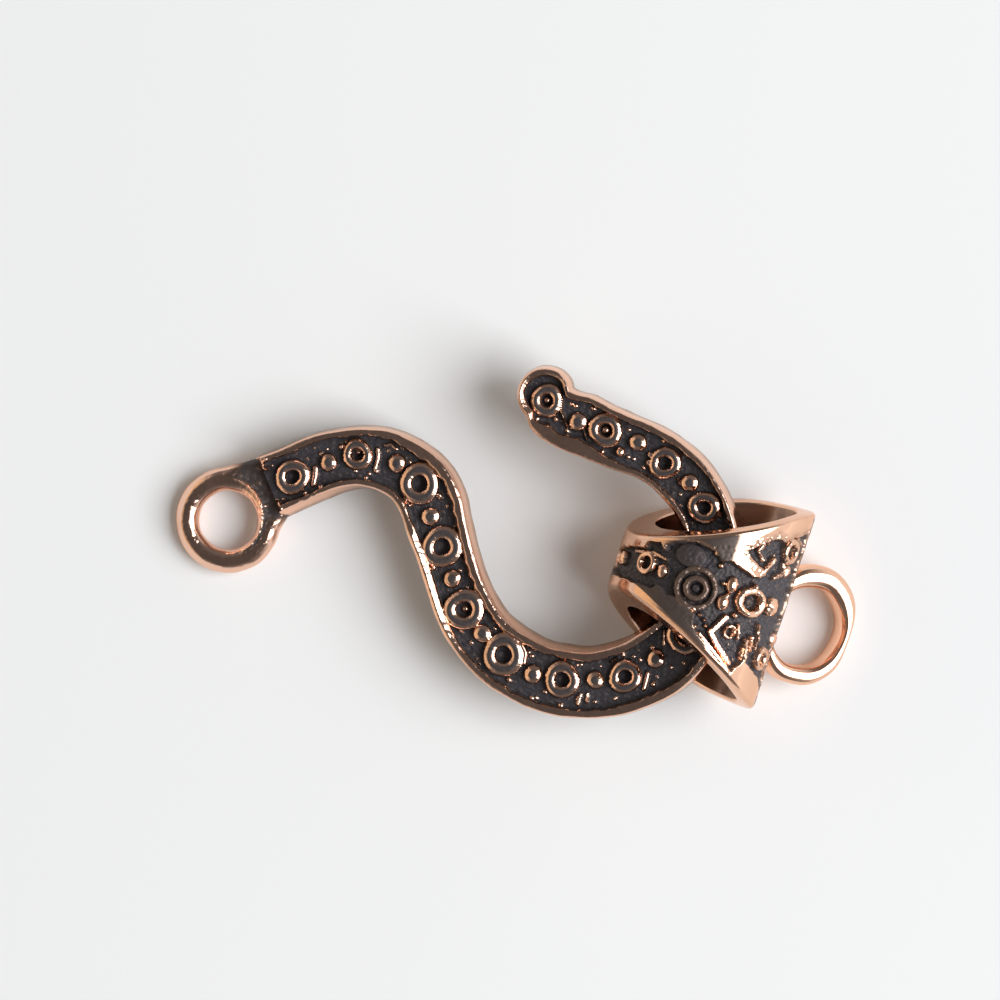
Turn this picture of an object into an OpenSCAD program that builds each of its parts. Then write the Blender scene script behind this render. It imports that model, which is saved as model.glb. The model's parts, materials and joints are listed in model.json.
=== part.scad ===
// Hook and eye clasp: an S shaped cast hook lying through a wide wedge shaped eye.
// The clasp lies fastened on the floor, +Z up, seen in the photo from above with +X to the right.
// The origin is on the floor under the middle of the clasp.

/* [Hook strip] */
// Height of the strip from its flat back to its rims
strip_h = 1.9; // [1.5:0.05:2.3]
// Depth of the trough between the two rims
trough_deep = 0.5; // [0.3:0.05:0.7]
// Width of the flat crest of a rim
rim_w = 0.14; // [0.08:0.02:0.24]
// Width of the gently sloping flank inside a rim
flank_w = 0.36; // [0.24:0.02:0.42]
// How far the flank drops over its width
flank_drop = 0.14; // [0.08:0.02:0.2]
// How far each outer wall leans out from rim to back
wall_draft = 0.14; // [0.05:0.01:0.2]
// Radius of the round knob at the tip
knob_r = 1.22; // [1.1:0.01:1.3]
// Rise of the strip toward the eye, where the eye holds it up, in degrees
hook_tilt = 6.4; // [6.3:0.05:7]
// Lean of the hook to its right side, in degrees
hook_roll = 2.5; // [1.5:0.1:3]

/* [Hook loop] */
// Radius of the loop at the middle of its wire
loop_mid_r = 1.89; // [1.8:0.01:1.95]
// Thickness of the loop's wire
loop_wire = 1.12; // [1:0.02:1.2]
// Radius of the loop's bore
loop_bore_r = 1.36; // [1.34:0.01:1.44]

/* [Granulation] */
// Outer radius of a ring
ring_r = 0.88; // [0.7:0.02:0.92]
// Radius of the hole in a ring
ring_hole_r = 0.5; // [0.3:0.02:0.56]
// Radius of a round granule
granule_r = 0.42; // [0.3:0.02:0.45]
// Height of rings and granules over the floor they stand on
bead_h = 0.4; // [0.25:0.05:0.45]

/* [Eye band] */
// Outer radius of the band
band_r = 4.04; // [4:0.01:4.2]
// Wall of the band, the mean of its two sides
band_wall = 1.06; // [1:0.01:1.1]
// How far the bore lies off the band's middle toward the loop
bore_shift = 0.2; // [0:0.02:0.24]
// Half width of the band, measured over its axis
band_half_w = 3.3; // [3.2:0.05:3.5]
// Lean of each rim, which makes the band wider toward its loop, in degrees
band_flare = 26; // [22:1:27]
// How much the rims bend back near the loop, per mm
rim_bend = 0.07; // [0.02:0.01:0.1]
// Depth of the ornamented ground under the rims
ground_deep = 0.34; // [0.2:0.02:0.4]
// Width of the plain rims
band_rim = 0.62; // [0.4:0.02:0.8]

/* [Eye loop] */
// Distance from the band's axis to the middle of the eye's loop
eye_loop_x = 5.82; // [5.76:0.02:5.9]
// Distance from the band's axis to the middle of its bore
eye_bore_x = 5.7; // [5.66:0.02:5.74]
// Radius of its bore
eye_bore_r = 1.86; // [1.7:0.02:1.88]
// How far the loop sits off the band's middle, to its right side
eye_loop_off = 0.27; // [0:0.01:0.4]
// How far the bore sits off the band's middle, to its right side
eye_bore_off = 0.38; // [0.2:0.01:0.4]
// Half length of the loop across the clasp
eye_loop_y = 2.85; // [2.7:0.05:3]
// Half length of the loop along the clasp
eye_loop_tip = 2.24; // [2.2:0.02:2.4]
// Thickness of the loop along its bore
eye_loop_t = 1.35; // [1.1:0.05:1.5]

/* [Hidden] */
$fn = 64;

// Small overlap that joins or clears two shapes
bite = 0.05;
rounding = 0.25;

// The strip's centreline, a row for each arc: length in mm, turn to the left in degrees
legs = [
    [1.84, 0],
    [2.07, -11.9],
    [4.93, -87.4],
    [4.28, 8.2],
    [8.38, 78.3],
    [2.95, 26.7],
    [7.93, 80.1],
    [4.14, 45.6],
    [2.16, -9.3],
    [2.54, -18.7]
];
// Where the centreline leaves the loop, from the loop's centre, and its first heading
strip_start = [2.12, 1.51];
strip_heading = 23.25;

// Reach of the strip's rims from its centreline, a row for each station: distance, left, right
widths = [
    [0, 1.48, 1.36],
    [3, 1.44, 1.31],
    [4.4, 1.33, 1.28],
    [6, 1.42, 1.28],
    [7.4, 1.56, 1.26],
    [8.8, 1.6, 1.3],
    [10.5, 1.46, 1.15],
    [12, 1.4, 1.16],
    [14, 1.42, 1.29],
    [16.5, 1.54, 1.39],
    [19.4, 1.58, 1.47],
    [24, 1.58, 1.57],
    [27.5, 1.37, 1.37],
    [31, 1.18, 1.18],
    [34, 1.3, 1.15],
    [36, 1.29, 1.12],
    [37.5, 1.28, 1.24],
    [39.3, 1.46, 1.26],
    [40.2, 1.56, 0.96],
    [41.2, 1.4, 0.9]
];

// Ornaments of the trough, first a ring, then granule and ring by turns.
// A row for each: distance along, offset to the left
beads = [
    [1.19, 0.08],
    [2.99, 0.1],
    [4.49, 0.19],
    [6.13, 0.18],
    [7.47, 0.14],
    [9.04, -0.04],
    [10.52, 0.11],
    [12.06, 0.09],
    [13.58, 0.06],
    [15, 0.17],
    [16.4, 0.15],
    [18.05, 0.04],
    [19.43, 0.17],
    [21.01, 0.21],
    [22.65, 0.08],
    [24.19, 0.2],
    [25.77, 0.1],
    [27.35, 0],
    [28.93, 0],
    [30.51, 0],
    [32.09, -0.05],
    [33.53, -0.07],
    [34.99, 0.07],
    [36.44, -0.2],
    [37.94, -0.21],
    [39.41, 0.01],
    [40.89, -0.05]
];

// Small grains on the trough's floor, a row for each: distance along, offset to the left, radius
grains = [
    [2.2, -0.7, 0.14],
    [3.7, 0.65, 0.14],
    [5.3, -0.5, 0.14],
    [8.3, 0.62, 0.15],
    [11.3, -0.6, 0.14],
    [14.3, -0.55, 0.14],
    [17.2, -0.7, 0.14],
    [20.2, -0.65, 0.14],
    [23.4, -0.75, 0.14],
    [36.91, 0.44, 0.3],
    [37.5, 0.78, 0.13],
    [40.15, 0.5, 0.13]
];

strip_length = sum_lengths(len(legs));
station_step = 0.42;
stations = ceil(strip_length / station_step);
strip_floor = strip_h - trough_deep;
flank_step = 0.12;

// Corner lengths of the eye, from its band's axis to the tip of its loop
eye_tip = eye_loop_x + eye_loop_tip;
// The eye rolls until both its band and the lower edge of its loop's tip touch the floor
eye_roll = asin(band_r / norm([eye_tip, eye_loop_t / 2])) - atan(eye_loop_t / 2 / eye_tip);
eye_turn = -18;
eye_place = [8.46, -1.95, band_r];
band_bore_r = band_r - band_wall;
ground_r = band_r - ground_deep;
bend_start = 1.4;

// The hook's loop lies on the floor by its left side
hook_lean = acos(cos(hook_tilt) * cos(hook_roll));
loop_place = [-13.27, 0.98, loop_wire / 2 + loop_mid_r * sin(hook_lean)];

function sum_lengths(count) = count == 0 ? 0 : legs[count - 1][0] + sum_lengths(count - 1);

// Point and heading a given way along one arc that starts at p with heading a
function arc_point(p, a, length, turn) =
    turn == 0
    ? [p.x + length * cos(a), p.y + length * sin(a), a]
    : let (r = length / (turn * PI / 180))
      [p.x + r * (sin(a + turn) - sin(a)), p.y - r * (cos(a + turn) - cos(a)), a + turn];

// Point and heading at a distance along the whole centreline
function along(distance, leg = 0, at = [strip_start.x, strip_start.y, strip_heading]) =
    distance <= legs[leg][0] || leg == len(legs) - 1
    ? arc_point(at, at[2], distance, legs[leg][1] * distance / legs[leg][0])
    : along(distance - legs[leg][0], leg + 1, arc_point(at, at[2], legs[leg][0], legs[leg][1]));

function left_reach(distance) = lookup(distance, [for (row = widths) [row[0], row[1]]]);
function right_reach(distance) = lookup(distance, [for (row = widths) [row[0], row[2]]]);

// Outer side of one wall, from its foot to its rim: reach and height
function wall_side(reach) = [
    [reach + wall_draft - rounding / 2, 0],
    [reach + wall_draft, rounding],
    [reach + rim_w / 2, strip_h - rounding],
    [reach - rim_w / 3, strip_h]
];

// One side of the trough, from its floor to a point above the rim: reach and height
function trough_side(reach) =
    let (top = reach - rim_w * 4 / 3, foot = top - flank_w)
    [
        [foot - flank_step, strip_floor],
        [foot, strip_h - flank_drop],
        [top, strip_h],
        [top + rounding, strip_h + rounding]
    ];

// Closed section with one side to the left and one to the right
function both_sides(left, right) =
    concat([for (i = [len(right) - 1 : -1 : 0]) [-right[i].x, right[i].y]], left);

function body_section(distance) =
    both_sides(wall_side(left_reach(distance)), wall_side(right_reach(distance)));

function trough_section(distance) =
    both_sides(trough_side(left_reach(distance)), trough_side(right_reach(distance)));

// One side closed along x = 0, to turn into a round end
function half_section(side) = concat([[0, side[0].y]], side, [[0, side[len(side) - 1].y]]);

function lift(section, distance) =
    let (p = along(distance))
    [for (q = section) [p.x - q.x * sin(p[2]), p.y + q.x * cos(p[2]), q.y]];

// Closed skin through rows of equal length, with end caps cut into triangles
module skin(rows) {
    n = len(rows[0]);
    last = (len(rows) - 1) * n;
    sides = [
        for (i = [0 : len(rows) - 2], j = [0 : n - 1])
            let (a = i * n + j, b = i * n + (j + 1) % n)
            each [[a, b + n, b], [a, a + n, b + n]]
    ];
    caps = [for (j = [1 : n - 2]) each [[0, j, j + 1], [last, last + j + 1, last + j]]];
    polyhedron(points = [for (row = rows) each row], faces = concat(sides, caps), convexity = 6);
}

module strip_body() {
    skin([for (i = [0 : stations]) let (s = strip_length * i / stations) lift(body_section(s), s)]);
}

module strip_trough() {
    start = -bite;
    run = strip_length - start;
    skin([
        for (i = [0 : stations])
            let (s = start + run * i / stations)
            lift(trough_section(s), s)
    ]);
}

// Round end of the strip, with the same walls and trough
module knob_body() {
    rotate_extrude()
        polygon(half_section(wall_side(knob_r)));
}

module knob_trough() {
    rotate_extrude()
        polygon(half_section(trough_side(knob_r)));
}

// Raised ring with a rounded crest, standing on z = 0
module ring(r, hole, h) {
    rotate_extrude()
        polygon([
            [hole, -2 * bite],
            [r, -2 * bite],
            [r, h * 0.35],
            [r - (r - hole) * 0.3, h],
            [r - (r - hole) * 0.65, h],
            [hole, h * 0.6]
        ]);
}

// Round granule standing on z = 0
module granule(r, h) {
    translate([0, 0, h - r])
        sphere(r = r, $fn = 32);
}

module at_strip(distance, left = 0) {
    p = along(distance);
    translate([p.x - left * sin(p[2]), p.y + left * cos(p[2]), strip_floor])
        rotate(p[2])
            children();
}

// Rings and granules by turns along the strip, with small grains between them
module strip_beads() {
    for (i = [0 : len(beads) - 1])
        at_strip(beads[i][0], beads[i][1])
            if (i % 2 == 0)
                ring(ring_r, ring_hole_r, bead_h);
            else
                granule(granule_r, bead_h);
    for (g = grains)
        at_strip(g[0], g[1])
            granule(g[2], g[2] + bite);
}

// Pits inside the rings, a little below the floor
module ring_pits() {
    pit = 0.2;
    for (i = [0 : 2 : len(beads) - 1])
        at_strip(beads[i][0], beads[i][1])
            translate([0, 0, -pit])
                cylinder(h = pit + bead_h, r = ring_hole_r - bite);
}

// Loop of round wire, and the web that carries it into the strip, on z = 0
module hook_loop() {
    web_reach = 0.3;
    left_angle = 112;
    right_angle = -8;
    corner = lift([[left_reach(0), 0], [-right_reach(0), 0]], web_reach);
    outer_r = loop_mid_r + loop_wire / 2;
    inside = outer_r - bite;
    translate([0, 0, loop_wire / 2])
        rotate_extrude()
            translate([loop_mid_r, 0])
                circle(d = loop_wire, $fn = 32);
    difference() {
        translate([0, 0, bite])
            linear_extrude(loop_wire - bite)
                polygon([
                    inside * [cos(left_angle), sin(left_angle)],
                    [corner[0].x, corner[0].y],
                    [corner[1].x, corner[1].y],
                    inside * [cos(right_angle), sin(right_angle)],
                    [0, 0]
                ]);
        cylinder(r = loop_mid_r, h = 3 * loop_wire, center = true);
    }
}

module hook() {
    color("peru")
        translate(loop_place)
            rotate([hook_roll, 0, 0])
                rotate([0, -hook_tilt, 0])
                    translate([0, 0, -loop_wire / 2])
                        difference() {
                            union() {
                                difference() {
                                    union() {
                                        strip_body();
                                        at_strip(strip_length)
                                            translate([0, 0, -strip_floor])
                                                knob_body();
                                    }
                                    strip_trough();
                                    at_strip(strip_length)
                                        translate([0, 0, -strip_floor])
                                            knob_trough();
                                }
                                strip_beads();
                                hook_loop();
                            }
                            ring_pits();
                            cylinder(r = loop_bore_r, h = 4 * loop_wire, center = true);
                        }
}

// Offset of a rim from the middle at a way x toward the loop
function rim_line(x, half_w) =
    max(bite, half_w + x * tan(band_flare) - rim_bend * pow(max(x - bend_start, 0), 2));

// Wedge seen from above, x toward the loop, that cuts the band's two leaning rims
module wedge(half_w) {
    reach = 1.2 * band_r;
    line = [for (i = [-12 : 12]) [reach * i / 12, rim_line(reach * i / 12, half_w)]];
    linear_extrude(4 * band_r, center = true)
        polygon(concat(
            [for (p = line) [p.x, -p.y]],
            [for (i = [len(line) - 1 : -1 : 0]) line[i]]
        ));
}

module tube(r) {
    rotate([90, 0, 0])
        cylinder(r = r, h = 4 * band_r, center = true, $fn = 96);
}

// Places a child on the band's ground: angle from the top toward the loop, offset along the axis
module on_band(angle, side = 0) {
    rotate([0, angle, 0])
        translate([0, side, ground_r])
            children();
}

// Straight raised bar between two points of the plane over the band
module bar(from, to, w) {
    reach = to - from;
    translate([from.x, from.y, 0])
        rotate(atan2(reach.y, reach.x))
            translate([-w / 2, -w / 2, 0])
                cube([norm(reach) + w, w, 2 * band_r]);
}

// Smooth raised field on one side of the middle row. Its end toward the loop is an arrow head
// that points away from the loop, and lead is how far the field runs away from the loop
module arrow(lead) {
    linear_extrude(2 * band_r)
        polygon([
            [-lead, 1.75],
            [-1.55, 1.6],
            [-1.3, 1.4],
            [-0.5, 1.35],
            [0.75, 1.1],
            [0.78, 1.3],
            [-0.28, 1.65],
            [-0.6, 2.1],
            [-0.1, 2.7],
            [0.85, 3.35],
            [1.1, 6],
            [-lead, 6]
        ]);
    bar([0.8, 1.55], [1.3, 2.15], 0.22);
    bar([0.9, 2.7], [1.6, 2.9], 0.22);
}

// Raised polished faces of the band: two rims, two arrow heads, a border by the loop
// and the plain underside
module band_faces() {
    plain_z = -0.9;
    border_x = 0.86 * band_r;
    intersection() {
        tube(band_r);
        union() {
            difference() {
                wedge(2 * band_half_w);
                wedge(band_half_w - band_rim);
            }
            translate([0, 0, plain_z - 2 * band_r])
                cube(4 * band_r, center = true);
            translate([border_x + 2 * band_r, 0, 0])
                cube(4 * band_r, center = true);
            arrow(2.5);
            mirror([0, 1, 0])
                arrow(1.75);
        }
    }
}

// Middle row of rings and granules, and the side rings near the wide end
module band_beads() {
    on_band(-98, 0.08)
        granule(0.34, bead_h);
    on_band(-70, 0.2)
        ring(0.54, 0.36, bead_h);
    on_band(-56, 0.06)
        granule(0.3, bead_h);
    on_band(-30, -0.2)
        ring(1.05, 0.62, bead_h);
    on_band(-30, -0.2)
        granule(0.4, bead_h / 2);
    on_band(10, -0.05)
        ring(0.74, 0.38, bead_h + bite);
    on_band(32, 0.02)
        granule(0.38, bead_h);
    on_band(36, 2.65)
        ring(0.5, 0.28, bead_h);
    on_band(41, -2.3)
        ring(0.5, 0.28, bead_h);
    for (side = [-1, 1]) {
        on_band(-8, side * 0.44)
            granule(0.28, bead_h);
        on_band(-43, side * 1.25)
            granule(0.6, bead_h - bite);
    }
}

// Oval loop, thick at its sides and thin at its tip, and the neck that carries it on the band
module eye_loop_body() {
    r = eye_loop_tip;
    side = eye_loop_y - r;
    edge = 0.22;
    neck_y = 1.9;
    neck_t = 0.8 * eye_loop_t;
    translate([band_bore_r, -eye_loop_off - neck_y, -neck_t / 2])
        cube([1.1 * band_r - band_bore_r, 2 * neck_y, neck_t]);
    translate([eye_loop_x, -eye_loop_off, 0]) {
        for (s = [-1, 1], up = [0, 1])
            translate([0, s * side, 0])
                mirror([0, 0, up]) {
                    cylinder(h = eye_loop_t / 2 - edge, r = r);
                    translate([0, 0, eye_loop_t / 2 - edge])
                        cylinder(h = edge, r1 = r, r2 = r - edge);
                }
        translate([-r, -side, edge - eye_loop_t / 2])
            cube([2 * r, 2 * side, eye_loop_t - 2 * edge]);
        translate([edge - r, -side, -eye_loop_t / 2])
            cube([2 * (r - edge), 2 * side, eye_loop_t]);
    }
}

module eye() {
    color("sandybrown")
        translate(eye_place)
            rotate([0, eye_roll, eye_turn])
                difference() {
                    union() {
                        intersection() {
                            union() {
                                tube(ground_r);
                                band_faces();
                                band_beads();
                            }
                            wedge(band_half_w);
                        }
                        eye_loop_body();
                    }
                    translate([bore_shift, 0, 0])
                        tube(band_bore_r);
                    translate([eye_bore_x, -eye_bore_off, 0])
                        cylinder(r = eye_bore_r, h = 2 * eye_loop_t, center = true);
                }
}

hook();
eye();
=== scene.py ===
import json
import math

import bmesh
import bpy
import numpy as np
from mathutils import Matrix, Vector
from mathutils.geometry import tessellate_polygon


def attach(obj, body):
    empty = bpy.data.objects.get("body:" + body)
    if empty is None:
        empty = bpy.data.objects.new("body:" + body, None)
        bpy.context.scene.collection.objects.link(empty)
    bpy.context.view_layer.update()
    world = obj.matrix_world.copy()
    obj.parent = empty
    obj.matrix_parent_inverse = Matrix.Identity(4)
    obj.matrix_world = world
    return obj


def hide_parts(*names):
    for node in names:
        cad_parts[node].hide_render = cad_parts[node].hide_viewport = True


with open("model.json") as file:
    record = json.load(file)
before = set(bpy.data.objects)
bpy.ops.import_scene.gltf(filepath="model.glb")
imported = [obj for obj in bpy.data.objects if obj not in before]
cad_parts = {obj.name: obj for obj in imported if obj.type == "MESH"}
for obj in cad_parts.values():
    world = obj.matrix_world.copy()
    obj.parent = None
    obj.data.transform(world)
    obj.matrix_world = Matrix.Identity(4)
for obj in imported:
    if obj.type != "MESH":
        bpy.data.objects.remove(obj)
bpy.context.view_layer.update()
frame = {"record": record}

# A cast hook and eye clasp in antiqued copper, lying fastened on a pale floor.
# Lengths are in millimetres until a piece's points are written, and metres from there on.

MM = 0.001

# Sizes of the hook's strip. The widths of its rims say how far inside the edge each part of the
# section ends: the shoulder, the crest, the flank, the bevel and the step to the floor
STRIP_H = 1.9
TROUGH_DEEP = 0.5
SHOULDER_W = 0.12
CREST_W = 0.17
FLANK_W = 0.34
FLANK_DROP = 0.12
BEVEL_W = 0.47
BEVEL_DROP = 0.1
STEP_W = 0.6
SHOULDER_DROP = 0.05
WALL_DRAFT = 0.14
WALL_FOOT = 0.3
TOE_R = 0.26
KNOB_R = 1.22
STRIP_FLOOR = STRIP_H - TROUGH_DEEP

# How far the strip's top stands back from the rims' reach, for the rounded shoulders, and how
# much more where the right wall leans beside the loop and the left one in the wide bend
EDGE_BACK = 0.04
LEAN_RIGHT = 0.2
LEAN_LEFT = 0.1

# Stretches of the strip, each as the distances between which it comes in and goes out: the leaning
# walls, the left rim with a bevel, the right rim that slopes inward, and the knob
RIGHT_LEANS = ((-1, 0), (2.5, 5.5))
LEFT_LEANS = ((13.5, 16), (22, 25))
LEFT_BEVELLED = ((6.5, 8), (18.5, 21))
RIGHT_SLOPING = ((9.3, 10), (13.4, 15.5))
KNOB_COMES = (40.6, 41)

# How far the castings' backs lie inside the backs of their solids
BACK_LIFT = 0.004

# Sizes of the hook's loop
LOOP_MID_R = 1.89
LOOP_WIRE = 1.12
LOOP_BORE_R = 1.36

# Granulation along the strip
RING_HOLE_R = 0.36
GRANULE_R = 0.44
BEAD_H = 0.4
RING_PIT = 0.24

# Sizes of the eye's band, its wedge seen from above with x toward the loop
BAND_R = 4.04
BAND_BORE_R = 2.98
BORE_SHIFT = 0.2
BAND_HALF_W = 3.3
BAND_FLARE = math.radians(26)
RIM_BEND = 0.07
BEND_START = 1.4
GROUND_DEEP = 0.34
GROUND_R = BAND_R - GROUND_DEEP
RIM_OUTER_R = BAND_R - 0.056

# Rounding of the band's left and right rim, and of its bore's edges
LEFT_ROUND = 0.1
RIGHT_ROUND = 0.18
BORE_ROUND = 0.14

# Sizes of the eye's loop, and how far the loop and its bore sit off the band's middle
EYE_LOOP_X = 5.82
EYE_BORE_X = 5.7
EYE_BORE_R = 1.86
EYE_LOOP_OFF = 0.27
EYE_BORE_OFF = 0.38
EYE_LOOP_Y = 2.85
EYE_LOOP_TIP = 2.24
EYE_LOOP_T = 1.35

# The photo: pixels across, millimetres a pixel and the pixel over the frame's origin. Then, in
# metres, how high the camera is and how high over the floor the photo's scale holds
PHOTO_PX = 1000
MM_PER_PX = 0.046
ORIGIN_PX = (515, 541.5)
CAMERA_HIGH = 0.22
FOCUS_HIGH = 0.0022

# The strip's centreline, a row for each arc: length, turn to the left in degrees
LEGS = [
    (1.84, 0),
    (2.07, -11.9),
    (4.93, -87.4),
    (4.28, 8.2),
    (8.38, 78.3),
    (2.95, 26.7),
    (7.93, 80.1),
    (4.14, 45.6),
    (2.16, -9.3),
    (2.54, -18.7),
]
STRIP_START = (2.12, 1.51)
STRIP_HEADING = 23.25
STRIP_LENGTH = sum(length for length, turn in LEGS)

# Reach of the rims from the centreline, a row for each station: distance, left, right
WIDTHS = [
    (0, 1.48, 1.36),
    (3, 1.44, 1.31),
    (4.4, 1.33, 1.28),
    (6, 1.42, 1.28),
    (7.4, 1.56, 1.26),
    (8.8, 1.6, 1.3),
    (10.5, 1.46, 1.15),
    (12, 1.4, 1.16),
    (14, 1.42, 1.29),
    (16.5, 1.54, 1.39),
    (19.4, 1.58, 1.47),
    (24, 1.58, 1.57),
    (27.5, 1.37, 1.37),
    (31, 1.18, 1.18),
    (34, 1.3, 1.15),
    (36, 1.29, 1.12),
    (37.5, 1.28, 1.24),
    (39.3, 1.46, 1.26),
    (40.2, 1.56, 0.96),
    (41.2, 1.4, 0.9),
]

# Breadth of the rims as a share of STEP_W, a row for each station: distance, left, right
RIM_SCALE = [
    (0, 0.5, 0.46),
    (5, 0.5, 0.48),
    (6.6, 0.92, 0.5),
    (9, 0.95, 0.6),
    (10, 0.95, 0.78),
    (13.3, 0.95, 0.78),
    (15.5, 0.68, 0.64),
    (20, 0.6, 0.66),
    (26, 0.58, 0.68),
    (30, 0.5, 0.5),
    (36, 0.5, 0.5),
    (37.6, 0.75, 0.5),
    (39, 1.25, 0.5),
    (40.2, 1.25, 0.5),
    (40.9, 0.6, 0.55),
    (41.3, 0.55, 0.55),
]

# Ornaments of the trough, ring and granule by turns: distance, offset to the left
BEADS = [
    (1.19, 0.08),
    (2.99, 0.1),
    (4.34, 0.19),
    (6.13, 0.18),
    (7.47, 0.14),
    (9.04, -0.04),
    (10.52, 0.11),
    (12.06, 0.09),
    (13.58, 0.06),
    (15, 0.17),
    (16.4, 0.15),
    (18.05, 0.04),
    (19.43, 0.17),
    (21.01, 0.21),
    (22.42, 0.08),
    (24.08, 0.2),
    (25.77, 0.1),
    (27.35, 0),
    (28.93, 0),
    (30.51, 0),
    (32.09, -0.05),
    (33.38, -0.07),
    (34.82, 0.07),
    (36.33, -0.2),
    (37.94, -0.21),
    (39.25, 0.01),
    (40.97, 0.1),
]

# Size of each ring in turn, over the size that RING_SIDE gives
RING_SIZES = [0.86, 0.76, 0.97, 0.98, 1.0, 1.02, 0.86, 0.8, 0.85, 0.85, 0.8, 0.8, 0.84, 0.8]

# Single grains, a row for each: distance, offset to the left, radius, height of the foot over the
# floor
GRAINS = [
    (2.2, -0.85, 0.13, 0),
    (3.7, 0.65, 0.14, 0),
    (5.3, -0.5, 0.14, 0),
    (8.3, 0.62, 0.15, 0),
    (11.3, -0.6, 0.14, 0),
    (14.3, -0.55, 0.14, 0),
    (17.2, -0.7, 0.14, 0),
    (20.2, -0.65, 0.14, 0),
    (23.4, -0.75, 0.14, 0),
    (31.57, -0.6, 0.13, 0.1),
    (32.02, -0.62, 0.13, 0.1),
    (34.5, -0.6, 0.14, 0),
    (35.5, 0.45, 0.15, 0.15),
    (35.6, 0.1, 0.15, 0.15),
    (36.96, 0.47, 0.24, 0.18),
    (37.71, 0.75, 0.11, 0.05),
    (40.26, 0.9, 0.1, 0.05),
    (39.47, 0.64, 0.12, 0),
    (39.75, -0.54, 0.12, 0),
    (40.15, 0.5, 0.13, 0),
    (13.58, 0.1, 0.2, -0.2),
    (4.34, 0.3, 0.15, -0.2),
    (37.94, -0.21, 0.2, -0.1),
    (40.97, 0.1, 0.17, -0.12),
]
FLOOR_GRAINS = 110

# Height of a ring by the distance from its middle: a steep wall out of the pit, a funnel, a level
# top, an outer bevel and a steep foot
RING_SIDE = [
    (0.345, 0.0),
    (0.385, 0.31),
    (0.5, 0.365),
    (0.57, 0.395),
    (0.64, 0.4),
    (0.71, 0.395),
    (0.76, 0.375),
    (0.95, 0.28),
    (0.99, 0.0),
]

# Thin raised lines in the trough, a row for each: half width, height, then its points as distance
# and offset to the left
TROUGH_LINES = [
    (0.06, 0.34, [(40.5, -0.45), (40.21, 0.01), (39.54, 0.47)]),
    (0.05, 0.3, [(39.01, 0.04), (38.52, 0.55)]),
    (0.05, 0.26, [(35.54, 0.2), (35.34, 0.6)]),
    (0.05, 0.24, [(21.9, 0.9), (22.3, 1.0)]),
    (0.09, 0.14, [(5.4, 0.72), (5.6, 0.88), (5.85, 0.75)]),
    (0.07, 0.16, [(7.55, -0.84), (8.15, -0.8)]),
    (0.1, 0.14, [(20.3, -0.45), (20.2, -0.9)]),
    (0.08, 0.12, [(20.6, -0.4), (20.55, -0.8)]),
    (0.15, 0.17, [(2.3, 0.05), (2.15, -0.3), (1.93, -0.6)]),
    (0.11, 0.16, [(5.15, 0.5), (5.25, 0.1), (5.2, -0.4)]),
    (0.13, 0.3, [(16.8, 1.05), (17.25, 0.8), (17.45, 0.35)]),
    (0.12, 0.14, [(23.4, -0.2), (22.98, -0.75)]),
    (0.08, 0.12, [(24.8, 0.5), (25.3, 0.95)]),
    (0.05, 0.2, [(33.65, 0.35), (33.9, 0.2)]),
    (0.09, 0.56, [(0.42, 1.32), (0.14, 1.18), (0.11, 0.98), (0.24, 0.86)]),
    (0.08, 0.56, [(0.12, -0.78), (0.14, -1.0), (0.16, -1.2)]),
]

# Where the two castings lie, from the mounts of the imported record
MOUNTS = {mount["name"]: mount for mount in frame["record"]["mounts"]}


def smoothstep(low, high, x):
    """Rises from 0 at low to 1 at high as 3t^2 - 2t^3."""
    t = np.clip((x - low) / (high - low), 0, 1)
    return t * t * (3 - 2 * t)


def soft_max(a, b, width):
    """Larger of two heights, with the corner between them rounded over width."""
    gap = np.clip(width - np.abs(a - b), 0, None) / width
    return np.maximum(a, b) + gap * gap * width / 4


def lumps(x, y, size, seed):
    """Even lumps about 1 high and size across: a sum of plane waves with random directions."""
    waves = 14
    rng = np.random.default_rng(seed)
    total = np.zeros(np.broadcast(x, y).shape)
    for angle, phase, stretch in rng.uniform((0, 0, 0.6), (math.tau, math.tau, 1.5), (waves, 3)):
        along = x * math.cos(angle) + y * math.sin(angle)
        total += np.sin(along * math.tau / (size * stretch) + phase)
    return total / math.sqrt(waves)


def grain_field(x, y, coarse, fine, seed):
    """Irregular grain: the mean of coarse lumps and fine ones."""
    return lumps(x, y, coarse, seed) * 0.5 + lumps(x, y, fine, seed + 1) * 0.5


def wall_bump(share, tall):
    """Low round wall: tall times 1 - 0.32 q^2, q the share from its middle to its edge.

    Over the last seventh it falls steeply to nothing.
    """
    q = np.abs(share)
    return tall * (1 - 0.32 * q ** 2) * np.clip((1 - q) / 0.14, 0, 1) ** 0.5


def dome_bump(share, tall):
    """Low button: level to a third of its reach, sloping to 0.7 of its height, then a steep side."""
    q = np.abs(share)
    slope = 1 - 0.3 * np.clip((q - 0.32) / 0.52, 0, 1) ** 1.2
    return tall * slope * np.clip((1 - q) / 0.13, 0, 1) ** 0.5


def line_distance(s, b, corners):
    """Distance to an open line through the corners, in the plane of the two coordinates."""
    best = np.full(s.shape, 1e9)
    for (ax, ay), (bx, by) in zip(corners, corners[1:]):
        ex, ey = bx - ax, by - ay
        t = np.clip(((s - ax) * ex + (b - ay) * ey) / (ex * ex + ey * ey), 0, 1)
        best = np.minimum(best, np.hypot(s - ax - t * ex, b - ay - t * ey))
    return best


def along_stretch(distance, stretch):
    """1 along a stretch of the strip and 0 off it, with a smooth step at each end."""
    comes, goes = stretch
    return smoothstep(*comes, distance) * (1 - smoothstep(*goes, distance))


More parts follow.
